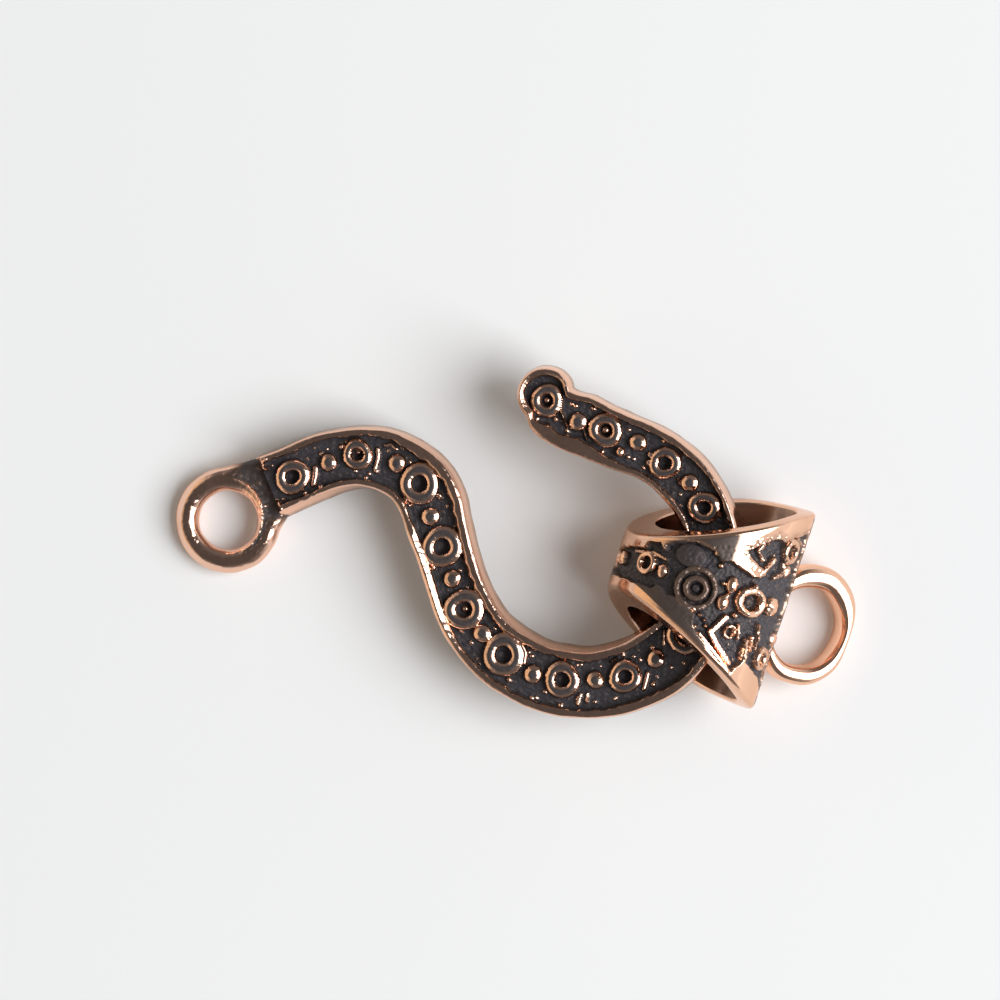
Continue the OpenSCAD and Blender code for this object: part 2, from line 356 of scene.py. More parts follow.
def centreline(distance):
    """Points and headings along the chain of arcs: on each arc the heading grows evenly."""
    x, y = STRIP_START
    heading = math.radians(STRIP_HEADING)
    start = 0.0
    out = np.zeros((3,) + distance.shape)
    for i, (length, turn) in enumerate(LEGS):
        turn = math.radians(turn)
        last = i == len(LEGS) - 1
        here = (distance >= start) | (i == 0)
        if not last:
            here &= distance < start + length
        run = distance[here] - start
        # A straight leg is an arc of a very large radius
        radius = length / turn if turn else 1e7
        ahead = heading + run / radius
        out[0][here] = x + radius * (np.sin(ahead) - math.sin(heading))
        out[1][here] = y - radius * (np.cos(ahead) - math.cos(heading))
        out[2][here] = ahead
        end = heading + length / radius
        x += radius * (math.sin(end) - math.sin(heading))
        y -= radius * (math.cos(end) - math.cos(heading))
        heading = end
        start += length
    return out


def at_strip(distance, left):
    """Place on the strip a way along it and an offset to its left."""
    x, y, heading = (float(v[0]) for v in centreline(np.array([float(distance)])))
    return x - left * math.sin(heading), y + left * math.cos(heading)


def rim_reach(distance, column):
    """Reach of a rim at a distance: the table's rows, joined by lines and then smoothed."""
    table = np.array(WIDTHS)
    fine = np.linspace(-2, STRIP_LENGTH + 2, 900)
    width = np.interp(fine, table[:, 0], table[:, column])
    kernel = np.hanning(31)
    padded = np.pad(width, 15, mode="edge")
    return np.interp(distance, fine, np.convolve(padded, kernel / kernel.sum(), mode="valid"))


def write_mesh(name, points, faces, wear_and_shade):
    """A welded mesh of points in millimetres, faces outward, with wear and painted shade per point."""
    mesh = bpy.data.meshes.new(name)
    mesh.from_pydata((points * MM).tolist(), [], faces)
    # The wear attribute also carries painted shade: dulled level tops and rims turned from the key
    # light.
    layer = mesh.attributes.new("wear_and_shade", "FLOAT", "POINT")
    layer.data.foreach_set("value", wear_and_shade.astype(np.float32))
    work = bmesh.new()
    work.from_mesh(mesh)
    bmesh.ops.remove_doubles(work, verts=work.verts, dist=0.002 * MM)
    bmesh.ops.dissolve_degenerate(work, edges=work.edges, dist=0.0005 * MM)
    bmesh.ops.recalc_face_normals(work, faces=work.faces)
    work.to_mesh(mesh)
    work.free()
    piece = bpy.data.objects.new(name, mesh)
    bpy.context.scene.collection.objects.link(piece)
    return piece


def grid_faces(rows, columns, wrap_rows=False):
    """Four sided faces of a grid whose columns close on themselves, and its rows too if asked."""
    i = np.arange(rows if wrap_rows else rows - 1)[:, None]
    j = np.arange(columns)[None, :]
    up = (i + 1) % rows
    right = (j + 1) % columns
    corners = (i * columns + j, up * columns + j, up * columns + right, i * columns + right)
    return np.stack(np.broadcast_arrays(*corners), -1).reshape(-1, 4).tolist()


def end_cap(section):
    """Triangles over the flat section that is a grid's first row."""
    outline = [Vector((float(u), float(z), 0)) for u, z in section]
    return [[int(k) for k in tri] for tri in tessellate_polygon([outline])]


def turn_pair(a, b, angle):
    """Two coordinates turned by an angle in radians, a toward b."""
    cos, sin = math.cos(angle), math.sin(angle)
    return a * cos - b * sin, a * sin + b * cos


def place_hook(points):
    """Lays the hook as the frame has it: turned until its loop's axis is the mount's, and moved."""
    mount = MOUNTS["hook_loop"]
    ax, ay, az = mount["axis"]
    x, y, z = points[:, 0], points[:, 1], points[:, 2] - LOOP_WIRE / 2
    x, z = turn_pair(x, z, math.asin(-ax))
    y, z = turn_pair(y, z, math.atan2(-ay, az))
    return np.stack([x, y, z], -1) + np.array(mount["pos_m"]) / MM


def place_eye(points):
    """Lays the eye as the frame has it: turned until its loop's axis is the mount's, and moved."""
    mount = MOUNTS["eye_loop"]
    ax, ay, az = mount["axis"]
    x, y, z = points[:, 0] - EYE_BORE_X, points[:, 1] + EYE_BORE_OFF, points[:, 2]
    z, x = turn_pair(z, x, math.atan2(math.hypot(ax, ay), az))
    x, y = turn_pair(x, y, math.atan2(ay, ax))
    return np.stack([x, y, z], -1) + np.array(mount["pos_m"]) / MM


def trough_height(inside, slope, bevel):
    """Height of the strip by the distance inside its edge.

    An outer shoulder rises to a narrow crest. The flank falls as a plain slope by a share of its
    full drop, or stays level up to a bevel, and a step meets the floor.
    """
    shoulder = SHOULDER_DROP * np.clip(1 - inside / SHOULDER_W, 0, 1) ** 1.4
    drop = FLANK_DROP * slope
    depth = BEVEL_DROP * bevel
    flank = drop * np.clip((inside - CREST_W) / (BEVEL_W - CREST_W), 0, 1)
    cut = depth * np.clip((inside - FLANK_W) / (BEVEL_W - FLANK_W), 0, 1)
    step = (TROUGH_DEEP - drop - depth) * smoothstep(BEVEL_W - 0.02, STEP_W, inside)
    return STRIP_H - shoulder - flank - cut - step


def trough_beads(x, y, height, rng):
    """Rings and granules by turns, each a height by the distance from its own middle.

    Their outlines are a little uneven. A pit is sunk in each ring, and where a bead rises above
    what is there the larger height wins. Also how far the beads stand out of the floor.
    """
    side = np.array(RING_SIDE)
    raised = np.zeros(x.shape)
    for i, (distance, left) in enumerate(BEADS):
        cx, cy = at_strip(distance, left)
        r = np.hypot(x - cx, y - cy) / rng.uniform(0.97, 1.03)
        angle = np.arctan2(y - cy, x - cx)
        phase_a, phase_b = rng.uniform(0, math.tau, 2)
        r = r * (1 + 0.035 * np.sin(2 * angle + phase_a) + 0.025 * np.sin(3 * angle + phase_b))
        if i % 2 == 0:
            r = r / RING_SIZES[i // 2]
            bump = np.interp(r, side[:, 0], side[:, 1], left=0, right=0)
            hole = np.clip(1 - (r / RING_HOLE_R) ** 2, 0, None)
            sunk = np.minimum(height, STRIP_FLOOR - RING_PIT * hole ** 0.6 + bump)
            height = np.where(hole > 0, sunk, height)
        else:
            bump = dome_bump(r / GRANULE_R, BEAD_H)
        height = np.where(bump > 0, soft_max(height, STRIP_FLOOR + bump, 0.05), height)
        raised = np.maximum(raised, bump)
    return height, raised


def trough_marks(x, y, height, rng):
    """Single grains, grains scattered over the open floor, and lines, all with round tops.

    Each is a height by the distance from its middle or line, and the larger height wins. Also
    where they are, because they are bright all over.
    """
    bright = np.zeros(x.shape)
    for distance, left, radius, foot in GRAINS:
        cx, cy = at_strip(distance, left)
        q = np.hypot(x - cx, y - cy) / radius
        bump = 1.1 * radius * np.sqrt(np.clip(1 - q ** 2, 0, None))
        height = np.where(bump > 0, soft_max(height, STRIP_FLOOR + foot + bump, 0.04), height)
        bright = np.maximum(bright, smoothstep(0.02, 0.07, bump))
    for place in range(FLOOR_GRAINS):
        distance = STRIP_LENGTH * (place + rng.uniform(0, 1)) / FLOOR_GRAINS
        cx, cy = at_strip(distance, rng.choice((-1, 1)) * rng.uniform(0.5, 1.1))
        radius = rng.uniform(0.06, 0.11)
        bump = dome_bump(np.hypot(x - cx, y - cy) / radius, radius)
        open_floor = (bump > 0) & (height < STRIP_FLOOR + 0.06) & (height > STRIP_FLOOR - 0.1)
        height = np.where(open_floor, soft_max(height, STRIP_FLOOR + bump, 0.03), height)
        bright = np.where(open_floor, np.maximum(bright, smoothstep(0.01, 0.05, bump)), bright)
    for half, tall, points in TROUGH_LINES:
        placed = [at_strip(distance, left) for distance, left in points]
        q = line_distance(x, y, placed) / half
        bump = tall * np.sqrt(np.clip(1 - q ** 2, 0, None))
        height = np.where(bump > 0, soft_max(height, STRIP_FLOOR + bump, 0.04), height)
        bright = np.maximum(bright, smoothstep(0.02, 0.1, bump))
    return height, bright


def strip_edges(distance):
    """Reach of the strip's left and right edge at each station, run into the knob's circle."""
    knob = KNOB_R - EDGE_BACK
    knob_reach = np.sqrt(np.clip(knob ** 2 - (STRIP_LENGTH - distance) ** 2, 0, None))
    wobble = 0.016 * lumps(distance, 0 * distance, 2.2, seed=3)
    left_reach = rim_reach(distance, 1) - EDGE_BACK + wobble
    right_reach = rim_reach(distance, 2) - EDGE_BACK + 0.7 * np.roll(wobble, 40)
    left = soft_max(left_reach, knob_reach, 0.12)
    right = soft_max(right_reach, knob_reach, 0.05)
    # The wide left rim runs into the knob over a short way
    ease = smoothstep(STRIP_LENGTH - 0.5, STRIP_LENGTH, distance)
    left = left * (1 - ease) + knob * ease
    on_cap = distance >= STRIP_LENGTH
    return np.where(on_cap, knob, left), np.where(on_cap, knob, right)


def wall_profile():
    """Points of a wall from the shoulder to the back, as outward step and height.

    A rounded shoulder leads into the drafted wall, and a quarter circle is its toe.
    """
    edge_h = STRIP_H - SHOULDER_DROP
    shoulder = np.array([(0.03, -0.03), (0.06, -0.08), (0.075, -0.15), (0.09, -0.3)]) + (0, edge_h)
    wall = np.array([(0.11, 1.25), (0.13, 0.9), (0.15, 0.6), (WALL_DRAFT + EDGE_BACK, WALL_FOOT)])
    turn = np.linspace(0, math.pi / 2, 5)[1:]
    toe_out = WALL_DRAFT + EDGE_BACK - TOE_R * (1 - np.cos(turn))
    toe = np.stack([toe_out, TOE_R * (1 - np.sin(turn))], -1)
    return np.concatenate([shoulder, wall, toe])


def strip_top(x, y, distance, on_left, in_strip, in_knob):
    """Height and wear, with painted shade, of the strip's top at grid points with a distance for each
    row.

    The height goes by the distance inside the outline, which is the larger of those inside the
    strip's edge and inside the knob's circle, over the rims' own breadth. The ornaments and a
    fine roughness stand on that.
    """
    # The rims curl in at the strip's first corners, and the start stays open between them
    curl = distance + 3 * smoothstep(0.4, 0.62, in_strip)
    inside = np.maximum(soft_max(np.minimum(in_strip, curl), in_knob, 0.06), 0)

    # Where the strip comes down from its arch the right rim slopes inward, even in breadth, and
    # the left one has a bevel
    down = along_stretch(distance, LEFT_BEVELLED)
    sloping = along_stretch(distance, RIGHT_SLOPING)
    knob_end = smoothstep(*KNOB_COMES, distance)
    slope = np.maximum(np.where(on_left, 0.12, 0.15 + 0.85 * sloping), knob_end)
    bevel = np.where(on_left, 0.15 + 0.85 * down, 0.2 * (1 - sloping)) * (1 - knob_end)
    scale = np.array(RIM_SCALE)
    scale_left = np.interp(distance, scale[:, 0], scale[:, 1])
    scale_right = np.interp(distance, scale[:, 0], scale[:, 2])
    uneven = 1 + 0.1 * lumps(x, y, 3.1, seed=8) + 0.08 * lumps(x, y, 0.9, seed=9)
    even = np.where(on_left, 0, sloping)
    inside = inside / ((uneven * (1 - even) + even) * np.where(on_left, scale_left, scale_right))

    rng = np.random.default_rng(11)
    height, raised = trough_beads(x, y, trough_height(inside, slope, bevel), rng)
    height, bright = trough_marks(x, y, height, rng)
    rough = grain_field(x, y, 0.32, 0.17, seed=21)
    on_floor = smoothstep(BEVEL_W, STEP_W, inside) * (1 - smoothstep(0.02, 0.15, raised))
    on_floor = on_floor * (1 - bright)
    height = height + 0.026 * rough * on_floor + 0.009 * rough * (1 - on_floor)
    # The first corners are worn down
    corner = (1 - smoothstep(0.0, 0.2, distance)) * (1 - smoothstep(0.4, 0.62, in_strip))
    height = height - 0.3 * corner

    rim = 1 - smoothstep(CREST_W, CREST_W + 0.08, inside)
    flank = 1 - smoothstep(BEVEL_W, STEP_W - 0.03, inside)
    rims = np.maximum(0.74 * rim, 0.74 * flank) + 0.2 * sloping * flank * (1 - on_left)
    # Rings and granules are bright on their slopes, and their level tops are dulled as painted shade
    beads = smoothstep(0.05, 0.22, raised) * (0.9 - 0.8 * smoothstep(0.37, 0.388, raised))
    flecks = 0.7 * smoothstep(0.7, 1.3, rough) * on_floor * (1 - smoothstep(0.8, 1.6, inside))
    corners = 0.97 * smoothstep(0.03, 0.2, corner)
    return height, np.maximum.reduce([rims, beads, 0.95 * bright, flecks, corners])


def strip_surface():
    """The strip as a grid of stations along the centreline by columns round its section.

    Straight across, a top column lies at a share of the reach, and its height comes from
    its distance inside the outline. Wall columns step outward and down by a rounded profile.
    Past the knob's middle the stations turn into a half circle, and the last one is welded.
    """
    station_step = 0.056
    straight = np.linspace(0, STRIP_LENGTH, int(STRIP_LENGTH / station_step))
    turn = np.linspace(0, math.pi / 2, 34)[1:]
    distance = np.append(straight, np.full(turn.shape, STRIP_LENGTH))
    cap = np.append(np.zeros(straight.shape), turn)
    px, py, heading = centreline(distance)
    left, right = strip_edges(distance)

    # Top columns crowd a little toward the middle of the trough
    share = np.linspace(-1, 1, 80)
    share = share * (1 - 0.12 * (1 - share ** 2))
    profile = wall_profile()
    back = np.linspace(0.9, -0.9, 5)

    # Side of each column, +1 left, how far out it lies beyond the rim, and its height
    side = np.concatenate([share, np.full(len(profile), 1.0), back, np.full(len(profile), -1.0)])
    outward = np.concatenate([0 * share, profile[:, 0], 0 * back, profile[::-1, 0]])
    level = np.concatenate([0 * share, profile[:, 1], 0 * back, profile[::-1, 1]])
    n_top = len(share)
    top = (np.arange(len(side)) < n_top)[None, :]

    # The top stands back where a wall leans
    lean_right = LEAN_RIGHT * along_stretch(distance, RIGHT_LEANS)
    lean_left = LEAN_LEFT * along_stretch(distance, LEFT_LEANS)
    left, right = left - lean_left, right - lean_right
    depth = np.clip((STRIP_H - level) / (STRIP_H - WALL_FOOT), 0, 1) * (outward > 0)
    lean = np.where(side[None, :] > 0, lean_left[:, None], lean_right[:, None]) * depth[None, :]
    half = np.where(side[None, :] > 0, left[:, None], right[:, None])
    reach = half * np.abs(side)[None, :] + outward[None, :] + lean
    across = np.sign(side)[None, :] * reach * np.cos(cap)[:, None]
    knob = KNOB_R - EDGE_BACK
    ahead = np.sin(cap)[:, None] * np.where(top, knob, reach)
    x = px[:, None] + ahead * np.cos(heading)[:, None] - across * np.sin(heading)[:, None]
    y = py[:, None] + ahead * np.sin(heading)[:, None] + across * np.cos(heading)[:, None]

    tx, ty, top_across = x[:, :n_top], y[:, :n_top], across[:, :n_top]
    on_cap = (distance >= STRIP_LENGTH)[:, None]
    in_strip = np.where(on_cap, -1.0, half[:, :n_top] - np.abs(top_across))
    in_knob = knob - np.hypot(tx - px[-1], ty - py[-1])
    top_z, top_wear_and_shade = strip_top(tx, ty, distance[:, None], top_across > 0, in_strip, in_knob)
    z = level[None, :] + 0 * x
    z[:, :n_top] = top_z
    z = np.maximum(z, BACK_LIFT)
    # The walls are duller near the back
    wear_and_shade = 0.6 + 0.33 * smoothstep(0.2, 1.3, z)
    wear_and_shade[:, :n_top] = top_wear_and_shade
    soft = 0.008 * lumps(x + z, y - z, 1.3, seed=31) * (1 - top)
    x, y = x + soft, y + soft

    rows, columns = x.shape
    points = np.stack([x, y, z], -1).reshape(-1, 3)
    faces = grid_faces(rows, columns)
    faces += end_cap(np.stack([across[0], z[0]], -1))
    return write_mesh("strip", place_hook(points), faces, wear_and_shade.reshape(-1))


def outline_reach(angle, corners):
    """Distance from the middle, along each angle, to a chain of straight sides.

    The farthest side counts, and where the angle meets none it is 0.
    """
    reach = np.zeros(angle.shape)
    dx, dy = np.cos(angle), np.sin(angle)
    for (ax, ay), (bx, by) in zip(corners, corners[1:]):
        ex, ey = bx - ax, by - ay
        cross = dx * ey - dy * ex
        cross = np.where(np.abs(cross) < 1e-9, 1e-9, cross)
        t = (ax * ey - ay * ex) / cross
        along = (ax * dy - ay * dx) / cross
        reach = np.where((t > 0) & (along >= 0) & (along <= 1), np.maximum(reach, t), reach)
    return reach


# Angles round the hook's loop in degrees: where the two sides of the web leave its outer edge, and
# its far side, where the wall leans most
WEB_TURNS = (113, -12)
FAR_SIDE = 215

# Outer side of the loop's wire by the share from its edge to its middle: a leaning wall, then its
# flat top
LEANING_WALL = [
    (0, 0),
    (0.015, 0.12),
    (0.07, 0.28),
    (0.2, 0.46),
    (0.34, 0.62),
    (0.48, 0.77),
    (0.62, 0.9),
    (0.75, 0.965),
    (0.88, 0.99),
    (1, 1),
]

# Thin ridge beside the bore where the web begins: angle in degrees, distance from the loop's
# middle. Then its height and breadth, and how much lower the web lies
WEB_RIDGE = [(-66, 1.53), (-59, 1.55), (3, 1.68), (41, 1.9), (77, 1.98), (88, 2.02)]
RIDGE_H = 0.1
RIDGE_W = 0.06
WEB_SUNK = 0.1


def loop_edge(angle):
    """Reach of the loop's outer edge: a circle that swells into the strip's end, with soft corners."""
    outer = LOOP_MID_R + LOOP_WIRE / 2
    into_strip, set_in = 0.3, 0.02
    near, far = (math.radians(turn) for turn in WEB_TURNS)
    corners = [
        (outer * math.cos(near), outer * math.sin(near)),
        at_strip(into_strip, WIDTHS[0][1] - set_in),
        at_strip(into_strip, set_in - WIDTHS[0][2]),
        (outer * math.cos(far), outer * math.sin(far)),
    ]
    reach = np.maximum(outline_reach(angle, corners), outer)
    kernel = np.hanning(7)
    return np.convolve(np.pad(reach, 3, mode="wrap"), kernel / kernel.sum(), mode="valid")


def loop_surface():
    """The hook's loop and its web: a rounded section carried once round the bore.

    The section reaches from the bore to the outer edge. Its inner side is a quarter circle. Its
    outer side is one too, blended toward a leaning wall on the far side from the strip. Where the
    web makes it wider it is flat between them. The web lies a little lower past a thin ridge.
    """
    rows, n_top, n_low = 230, 40, 14
    angle = np.linspace(0, math.tau, rows, endpoint=False)
    outer = LOOP_MID_R + LOOP_WIRE / 2
    inner = LOOP_BORE_R
    reach = loop_edge(angle)
    wide = smoothstep(0.02, 0.5, reach - outer)[:, None]
    lean = (0.5 + 0.5 * np.cos(angle - math.radians(FAR_SIDE)))[:, None]

    # Columns from the bore to the outer edge over the top, then back underneath
    over = (1 - np.cos(np.linspace(0, math.pi, n_top))) / 2
    under = (1 + np.cos(np.linspace(0, math.pi, n_low + 2)[1:-1])) / 2
    share = np.concatenate([over, under])[None, :]
    top = (np.arange(share.shape[1]) < n_top)[None, :]
    radius = inner + (reach - inner)[:, None] * share
    half = (outer - inner) / 2
    from_bore = np.clip((radius - inner) / half, 0, 1)
    from_edge = np.clip((reach[:, None] - radius) / half, 0, 1)
    round_in = np.sqrt(1 - (1 - from_bore) ** 2)
    round_out = np.sqrt(1 - (1 - from_edge) ** 2)
    wall = np.array(LEANING_WALL)
    leaning = np.interp(from_edge, wall[:, 0], wall[:, 1])
    round_out = np.where(top, round_out * (1 - lean) + leaning * lean, round_out)
    up = np.minimum(round_in, round_out)
    z = np.maximum(LOOP_WIRE / 2 * (1 + np.where(top, up, -up)), BACK_LIFT)

    # Ridge along the bore, and the web past it
    ridge_at = np.array(WEB_RIDGE)
    degrees = np.degrees(np.where(angle > math.pi, angle - math.tau, angle))
    ridge_r = np.interp(degrees, ridge_at[:, 0], ridge_at[:, 1])[:, None]
    along = (smoothstep(-66, -50, degrees) * (1 - smoothstep(74, 88, degrees)))[:, None]
    ridge = np.exp(-(((radius - ridge_r) / RIDGE_W) ** 2)) * along * top
    sunk = WEB_SUNK * wide * smoothstep(0.03, 0.25, radius - ridge_r) * top
    web = smoothstep(0.02, 0.08, radius - ridge_r) * np.maximum(wide, along * (radius < ridge_r + 0.2))
    web = web * top
    x, y = radius * np.cos(angle)[:, None], radius * np.sin(angle)[:, None]
    rough = lumps(x, y, 0.5, seed=42) * 0.6 + lumps(x, y, 0.22, seed=43) * 0.4
    grain = (0.012 + 0.036 * web) * rough * top * smoothstep(0.6, 1, up)
    z = z + RIDGE_H * ridge - sunk + grain
    soft = 0.012 * lumps(x + z, y - z, 1.5, seed=41)
    x, y = x + soft * np.cos(angle)[:, None], y + soft * np.sin(angle)[:, None]

    # The wire is polished, less on its flat top, which is partly patina and partly painted shade.
    # The web is dark with bright flecks, and the ridge is polished on its side toward the bore
    flat = smoothstep(0.8, 0.97, up) * top
    flecks = 0.55 * smoothstep(0.6, 1.2, rough)
    wear_and_shade = (0.98 - 0.26 * flat) * (1 - web) + (0.16 + flecks) * web
    wear_and_shade = np.maximum(wear_and_shade, 0.95 * smoothstep(0.3, 0.6, ridge) * (radius < ridge_r + 0.02))
    points = np.stack([x, y, z], -1).reshape(-1, 3)
    faces = grid_faces(rows, share.shape[1], True)
    return write_mesh("loop", place_hook(points), faces, wear_and_shade.reshape(-1))


# Edges of the raised plain field at each side of the middle row: angle from the top toward the
# loop in degrees, offset along the axis. The left field ends toward the loop in a hollow arrow head.
LEFT_FIELD = [
    (-135, 0),
    (-118, 0.45),
    (-105, 0.62),
    (-91, 0.7),
    (-75, 0.86),
    (-73, 1.17),
    (-63, 1.33),
    (-59, 1.03),
    (-58, 1.3),
    (-52, 1.62),
    (-43, 1.82),
    (-35, 1.79),
    (-25, 1.69),
    (-20, 1.4),
    (-13, 1.42),
    (-7, 1.35),
    (3, 1.14),
    (10, 1.11),
    (4, 1.29),
    (-4, 1.54),
    (-11, 1.87),
    (-11, 2.29),
    (-3, 2.74),
    (11, 3.46),
    (22, 3.47),
    (30, 3.73),
    (49, 4.12),
    (75, 4.6),
    (75, 9),
    (-135, 9),
]
RIGHT_FIELD = [
    (-135, 0),
    (-118, -0.5),
    (-105, -0.75),
    (-91, -0.85),
    (-71, -0.85),
    (-60, -0.87),
    (-56, -0.64),
    (-47, -0.93),
    (-36, -0.83),
    (-31, -1.13),
    (-26, -1.36),
    (-25, -1.8),
    (-22, -2.11),
    (-15, -2.42),
    (-2, -3.04),
    (10, -3.45),
    (18, -2.68),
    (43, -3.29),
    (65, -4.24),
    (75, -4.6),
    (75, -9),
    (-135, -9),
]

# Rings on the band, a row for each: angle, offset along the axis, reach round the band and along
# its axis, reach of the hole as a share of that, height, wear
BAND_RINGS = [
    (-70, 0.2, 0.56, 0.54, 0.52, 0.36, 0.9),
    (-30, -0.21, 1.04, 1.0, 0.76, 0.27, 0.42),
    (-30, -0.21, 0.62, 0.58, 0.55, 0.32, 0.46),
    (10, -0.05, 0.88, 0.69, 0.52, 0.42, 1.0),
    (34, 2.68, 0.66, 0.6, 0.48, 0.36, 0.85),
    (41, -2.34, 0.62, 0.55, 0.48, 0.36, 0.85),
    (1.5, -1.6, 0.34, 0.34, 0.5, 0.26, 0.9),
]

# Domes on the band, a row for each: angle, offset, reach round the band and along it, height, wear
BAND_DOMES = [
    (-100, 0.08, 0.36, 0.34, 0.38, 1.0),
    (-117, 0.05, 0.34, 0.32, 0.34, 0.9),
    (-55.6, 0.06, 0.28, 0.34, 0.4, 1.0),
    (-40, 1.12, 0.82, 0.56, 0.25, 0.12),
    (-30, -0.21, 0.2, 0.2, 0.1, 0.5),
    (-24, 1.55, 0.13, 0.12, 0.3, 0.95),
    (-18.5, 1.1, 0.15, 0.14, 0.3, 0.95),
    (-13, 0.38, 0.13, 0.12, 0.24, 0.9),
    (-7.4, 0.44, 0.31, 0.4, 0.42, 1.0),
    (-9.8, -0.44, 0.32, 0.38, 0.42, 1.0),
    (-8.5, -0.07, 0.12, 0.12, 0.34, 0.95),
    (9, 0.66, 0.16, 0.16, 0.46, 1.0),
    (1, -0.83, 0.16, 0.14, 0.34, 1.0),
    (10, -0.05, 0.2, 0.18, 0.12, 0.6),
    (32, 0.03, 0.5, 0.46, 0.42, 0.95),
    (39, 1.77, 0.34, 0.3, 0.26, 0.8),
    (60, -1.36, 0.4, 0.34, 0.36, 0.9),
    (-27, -1.17, 0.12, 0.1, 0.24, 0.9),
    (-22, -1.28, 0.14, 0.1, 0.26, 0.9),
    (-23, -1.84, 0.12, 0.12, 0.34, 0.9),
    (-16, -1.68, 0.13, 0.1, 0.28, 0.9),
    (-18, -1.45, 0.1, 0.1, 0.26, 0.9),
    (6, 2.45, 0.16, 0.14, 0.2, 0.8),
    (10, 2.75, 0.13, 0.16, 0.2, 0.8),
]

# Raised lines on the band, a row for each: half width, height, wear, then its points
BAND_LINES = [
    (0.17, 0.36, 1.0, [(-5, -1.04), (-9, -1.53), (-12, -1.87), (-5, -2.35), (7, -2.94)]),
    (0.12, 0.34, 0.95, [(-19, -2.1), (-11, -2.45), (2, -3.02), (9, -3.3)]),
    (0.13, 0.32, 1.0, [(12.4, 1.46), (17.7, 2.11)]),
    (0.1, 0.26, 0.8, [(9, 1.9), (3, 2.3), (6, 2.6)]),
    (0.1, 0.3, 0.95, [(6, -1.2), (8.5, -1.75)]),
    (0.14, 0.34, 0.85, [(16, -1.75), (19.5, -2.6)]),
    (0.11, 0.3, 0.9, [(20.5, -1.55), (22.5, -2.15)]),
    (0.1, 0.28, 0.95, [(14.5, -2.15), (16.5, -2.6)]),
    (0.12, 0.26, 0.7, [(24, -0.95), (28, -1.5), (27, -2.0)]),
    (0.07, 0.33, 0.95, [(-44, 1.72), (-36, 1.86), (-25.4, 1.7)]),
    (0.14, 0.24, 0.7, [(24, 1.3), (33, 1.6), (30, 2.0)]),
    (0.12, 0.24, 0.75, [(38, 3.3), (50, 3.1)]),
    (0.1, 0.22, 0.75, [(-84, 0.55), (-66, 0.72), (-56, 0.62)]),
]


def in_outline(s, b, corners):
    """True inside a closed outline: a ray from the point crosses its sides an odd number of times."""
    odd = np.zeros(s.shape, dtype=bool)
    for (ax, ay), (bx, by) in zip(corners, corners[1:] + corners[:1]):
        if ay != by:
            crosses = (ay > b) != (by > b)
            odd ^= crosses & (s < ax + (bx - ax) * (b - ay) / (by - ay))
    return odd


# Length of one degree round the band
ARC = BAND_R * math.pi / 180


def field_share(degrees, offset, corners, bevel):
    """1 on a raised field, and by the distance outside its edge a gentle bevel, then a step to 0."""
    placed = [(angle * ARC, place) for angle, place in corners]
    s = degrees * ARC
    outside = np.where(in_outline(s, offset, placed), 0, line_distance(s, offset, placed + placed[:1]))
    gentle = 0.22 * np.clip(outside / (bevel + 0.001), 0, 1) * (bevel > 0.01)
    return (1 - gentle) * (1 - smoothstep(bevel, bevel + 0.13, outside))


def band_fields(degrees, offset, edge):
    """Share of the ground's depth that the plain faces stand up by, and how much they are polished.

    The two fields stand beside the middle row, and their ends toward the loop fall away in wide
    bevels. A border crosses the band before the loop, and the rims run along its edges. The
    fields are bright toward the loop and on their bevels, and the left one is bright at its far
    end too. The rest of them is brown satin, partly patina and partly painted shade.
    """
    ragged = 0.03 * lumps(degrees * ARC, offset, 0.7, seed=51)
    left_end = smoothstep(-14, -9, degrees) * smoothstep(1.25, 1.7, offset + 0.02 * degrees)
    right_end = smoothstep(-24, -16, degrees) * (1 - smoothstep(8, 12, degrees))
    left = field_share(degrees, offset + ragged, LEFT_FIELD, 0.42 * left_end)
    right = field_share(degrees, offset + ragged, RIGHT_FIELD, 0.2 * right_end)
    border = smoothstep(60, 66, degrees + 5 * lumps(degrees * ARC, offset, 0.9, seed=52))
    rim = 1 - smoothstep(0.2, 0.34, edge)
    plain = np.maximum.reduce([left, right, border, rim])

    west = (1 - smoothstep(-64, -50, degrees)) * (offset > 0)
    east = smoothstep(-15, -10, degrees) * (1 - smoothstep(50, 58, degrees))
    # Brown satin on the level faces is partly painted shade.
    level_wear_and_shade = 0.32 + np.maximum(0.5 * west, 0.62 * east)
    on_bevel = smoothstep(0.02, 0.08, 1 - plain) * smoothstep(0.5, 0.7, plain)
    level_wear_and_shade = level_wear_and_shade + (0.96 - level_wear_and_shade) * on_bevel * smoothstep(-24, -16, degrees)
    # The rolled edge of the right rim is wide far from the loop
    rolled = np.where(offset > 0, 0.14, 0.2 + 0.3 * (1 - smoothstep(-80, -35, degrees)))
    wear_and_shade = np.maximum(plain * level_wear_and_shade, 0.88 * (1 - smoothstep(rolled, rolled + 0.06, edge)))
    # Level plain faces away from the bright end are a little lumpy
    lumpy = plain * (1 - east) * (edge > 0.5)
    return plain, wear_and_shade, lumpy


